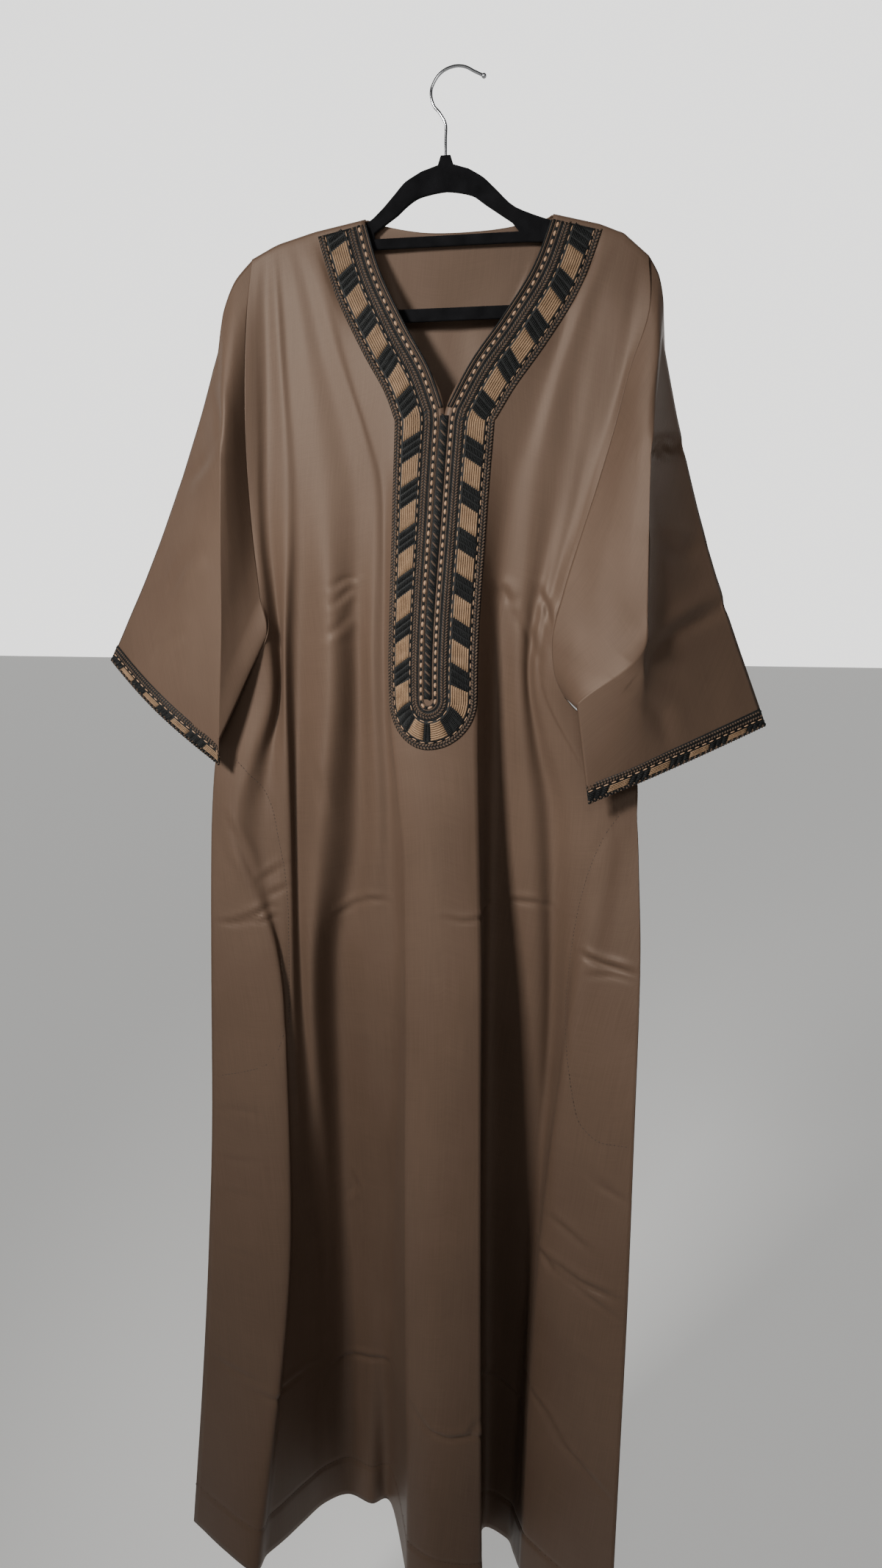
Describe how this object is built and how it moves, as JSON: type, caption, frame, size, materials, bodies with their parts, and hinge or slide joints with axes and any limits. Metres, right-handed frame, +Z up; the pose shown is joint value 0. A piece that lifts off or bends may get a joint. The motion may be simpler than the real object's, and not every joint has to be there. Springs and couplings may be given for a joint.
{
  "type": "thobe on a hanger",
  "caption": "Long V-neck robe with a braided neck band and placket, wide sleeves with braided cuffs and side pockets, hanging on a flocked hanger.",
  "frame": {"origin": "inside top of the hanger's hook, where a rail or peg carries it", "axes": "+Z up, -Y out of the garment's front, +X to the viewer's right"},
  "size_m": [0.7385, 0.1732, 1.6711],
  "materials": {
    "cloth": "satin twill, soft sheen",
    "mixed_thread": "plaited braid",
    "tan_thread": "embroidered band with dark blocks",
    "pale_thread": "beaded cord",
    "dark_thread": "dull braid",
    "pocket_cloth": "plain lining",
    "velvet": "flocked",
    "chrome_wire": "polished"
  },
  "bodies": {
    "root": {"front": "cloth", "back": "cloth", "sleeve_left": "cloth", "sleeve_right": "cloth", "neck_outer_braid": "mixed_thread", "neck_inner_braid": "mixed_thread", "neck_block_band": "tan_thread", "neck_beaded_cord": "pale_thread", "neck_edge_cord_left": "dark_thread", "neck_edge_cord_right": "dark_thread", "placket_centre_braid": "dark_thread", "cuff_band_left": "tan_thread", "cuff_band_right": "tan_thread", "pocket_bag_left": "pocket_cloth", "pocket_bag_right": "pocket_cloth", "hanger_frame": "velvet", "hanger_hook": "chrome_wire"}
  },
  "joints": []
}
